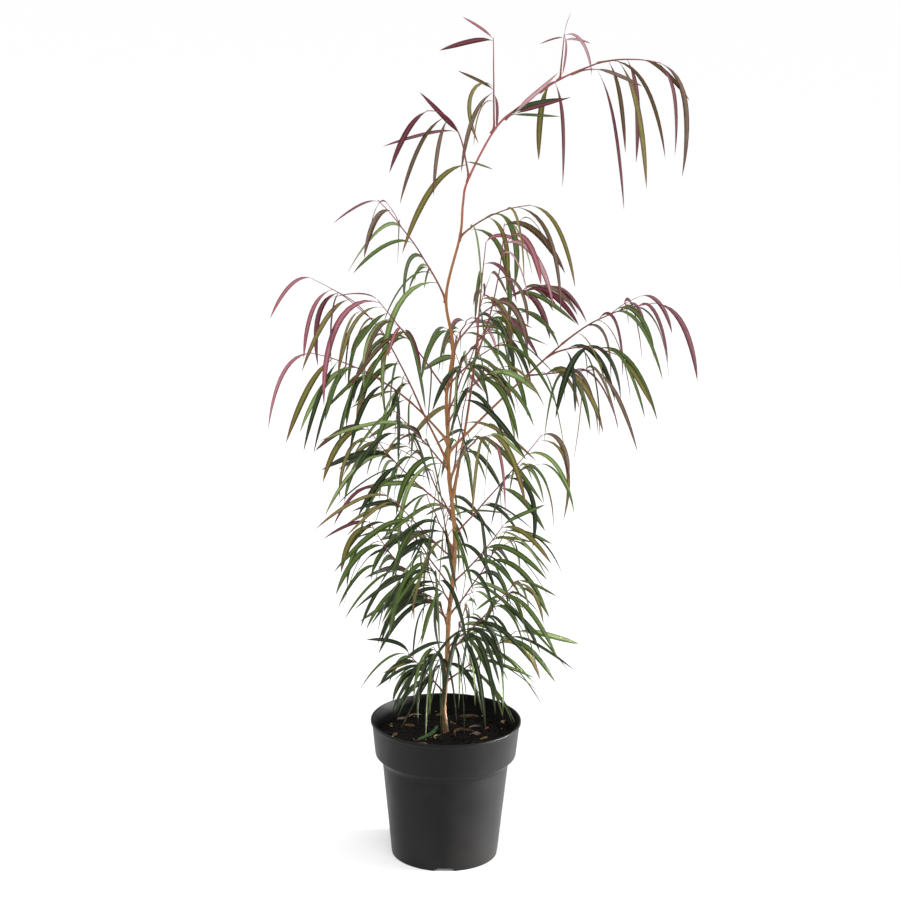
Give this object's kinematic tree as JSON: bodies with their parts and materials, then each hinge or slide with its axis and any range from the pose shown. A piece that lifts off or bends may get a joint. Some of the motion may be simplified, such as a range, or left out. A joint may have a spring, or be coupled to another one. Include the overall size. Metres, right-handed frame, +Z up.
{
  "type": "potted burgundy willow myrtle",
  "caption": "Slim young shrub in a round nursery pot: one kinked stem, an arching leader, thin side shoots and long narrow hanging leaves in green, olive and burgundy.",
  "frame": {"origin": "middle of the pot's flat underside, on the surface that the pot stands on", "axes": "+Z up the plant, +X to the right and +Y to the back as the plant is seen from the front"},
  "size_m": [0.528, 0.4894, 1.0617],
  "materials": {
    "pot": "matt charcoal, moulded",
    "potting_mix": "moist dark peat with bark chips",
    "bark": "thin tan bark, redder on the young wood",
    "green_foliage": "smooth, half matt leaf",
    "olive_foliage": "smooth, half matt leaf",
    "burgundy_foliage": "smooth, half matt leaf"
  },
  "bodies": {
    "root": {"pot": "pot", "potting_mix": "potting_mix", "trunk": "bark", "side_stem": "bark", "right_bough": "bark", "left_long_bough": "bark", "left_rising_bough": "bark", "back_bough": "bark", "front_bough": "bark", "leader_tip": "burgundy_foliage", "leader_arch_shoot": "green_foliage", "leader_back_shoot": "burgundy_foliage", "leader_upright_shoot": "burgundy_foliage", "leader_foot_shoot": "burgundy_foliage", "fork_shoot": "burgundy_foliage", "left_high_shoot": "burgundy_foliage", "left_upper_shoot": "green_foliage", "left_burgundy_shoot": "burgundy_foliage", "left_long_shoot": "olive_foliage", "left_rising_shoot": "olive_foliage", "left_middle_shoot": "green_foliage", "left_low_shoot": "green_foliage", "left_front_shoot": "olive_foliage", "left_back_shoot": "green_foliage", "left_foot_shoot": "green_foliage", "right_upper_shoot": "green_foliage", "right_node_shoot": "burgundy_foliage", "side_stem_top": "burgundy_foliage", "side_stem_shoot": "burgundy_foliage", "right_far_upper_shoot": "burgundy_foliage", "right_far_lower_shoot": "green_foliage", "right_pink_shoot": "burgundy_foliage", "right_middle_shoot": "green_foliage", "right_low_shoot": "green_foliage", "right_back_shoot": "green_foliage", "right_front_shoot": "olive_foliage", "right_foot_shoot": "green_foliage", "back_far_shoot": "burgundy_foliage", "back_upper_shoot": "green_foliage", "back_right_shoot": "green_foliage", "back_middle_shoot": "olive_foliage", "back_left_shoot": "green_foliage", "back_low_shoot": "green_foliage", "back_lower_shoot": "green_foliage", "back_foot_shoot": "olive_foliage", "front_far_shoot": "olive_foliage", "front_upper_shoot": "green_foliage", "front_right_shoot": "green_foliage", "front_left_shoot": "green_foliage", "front_middle_shoot": "olive_foliage", "front_low_shoot": "green_foliage", "front_foot_shoot": "green_foliage", "front_left_foot_shoot": "green_foliage"}
  },
  "joints": []
}
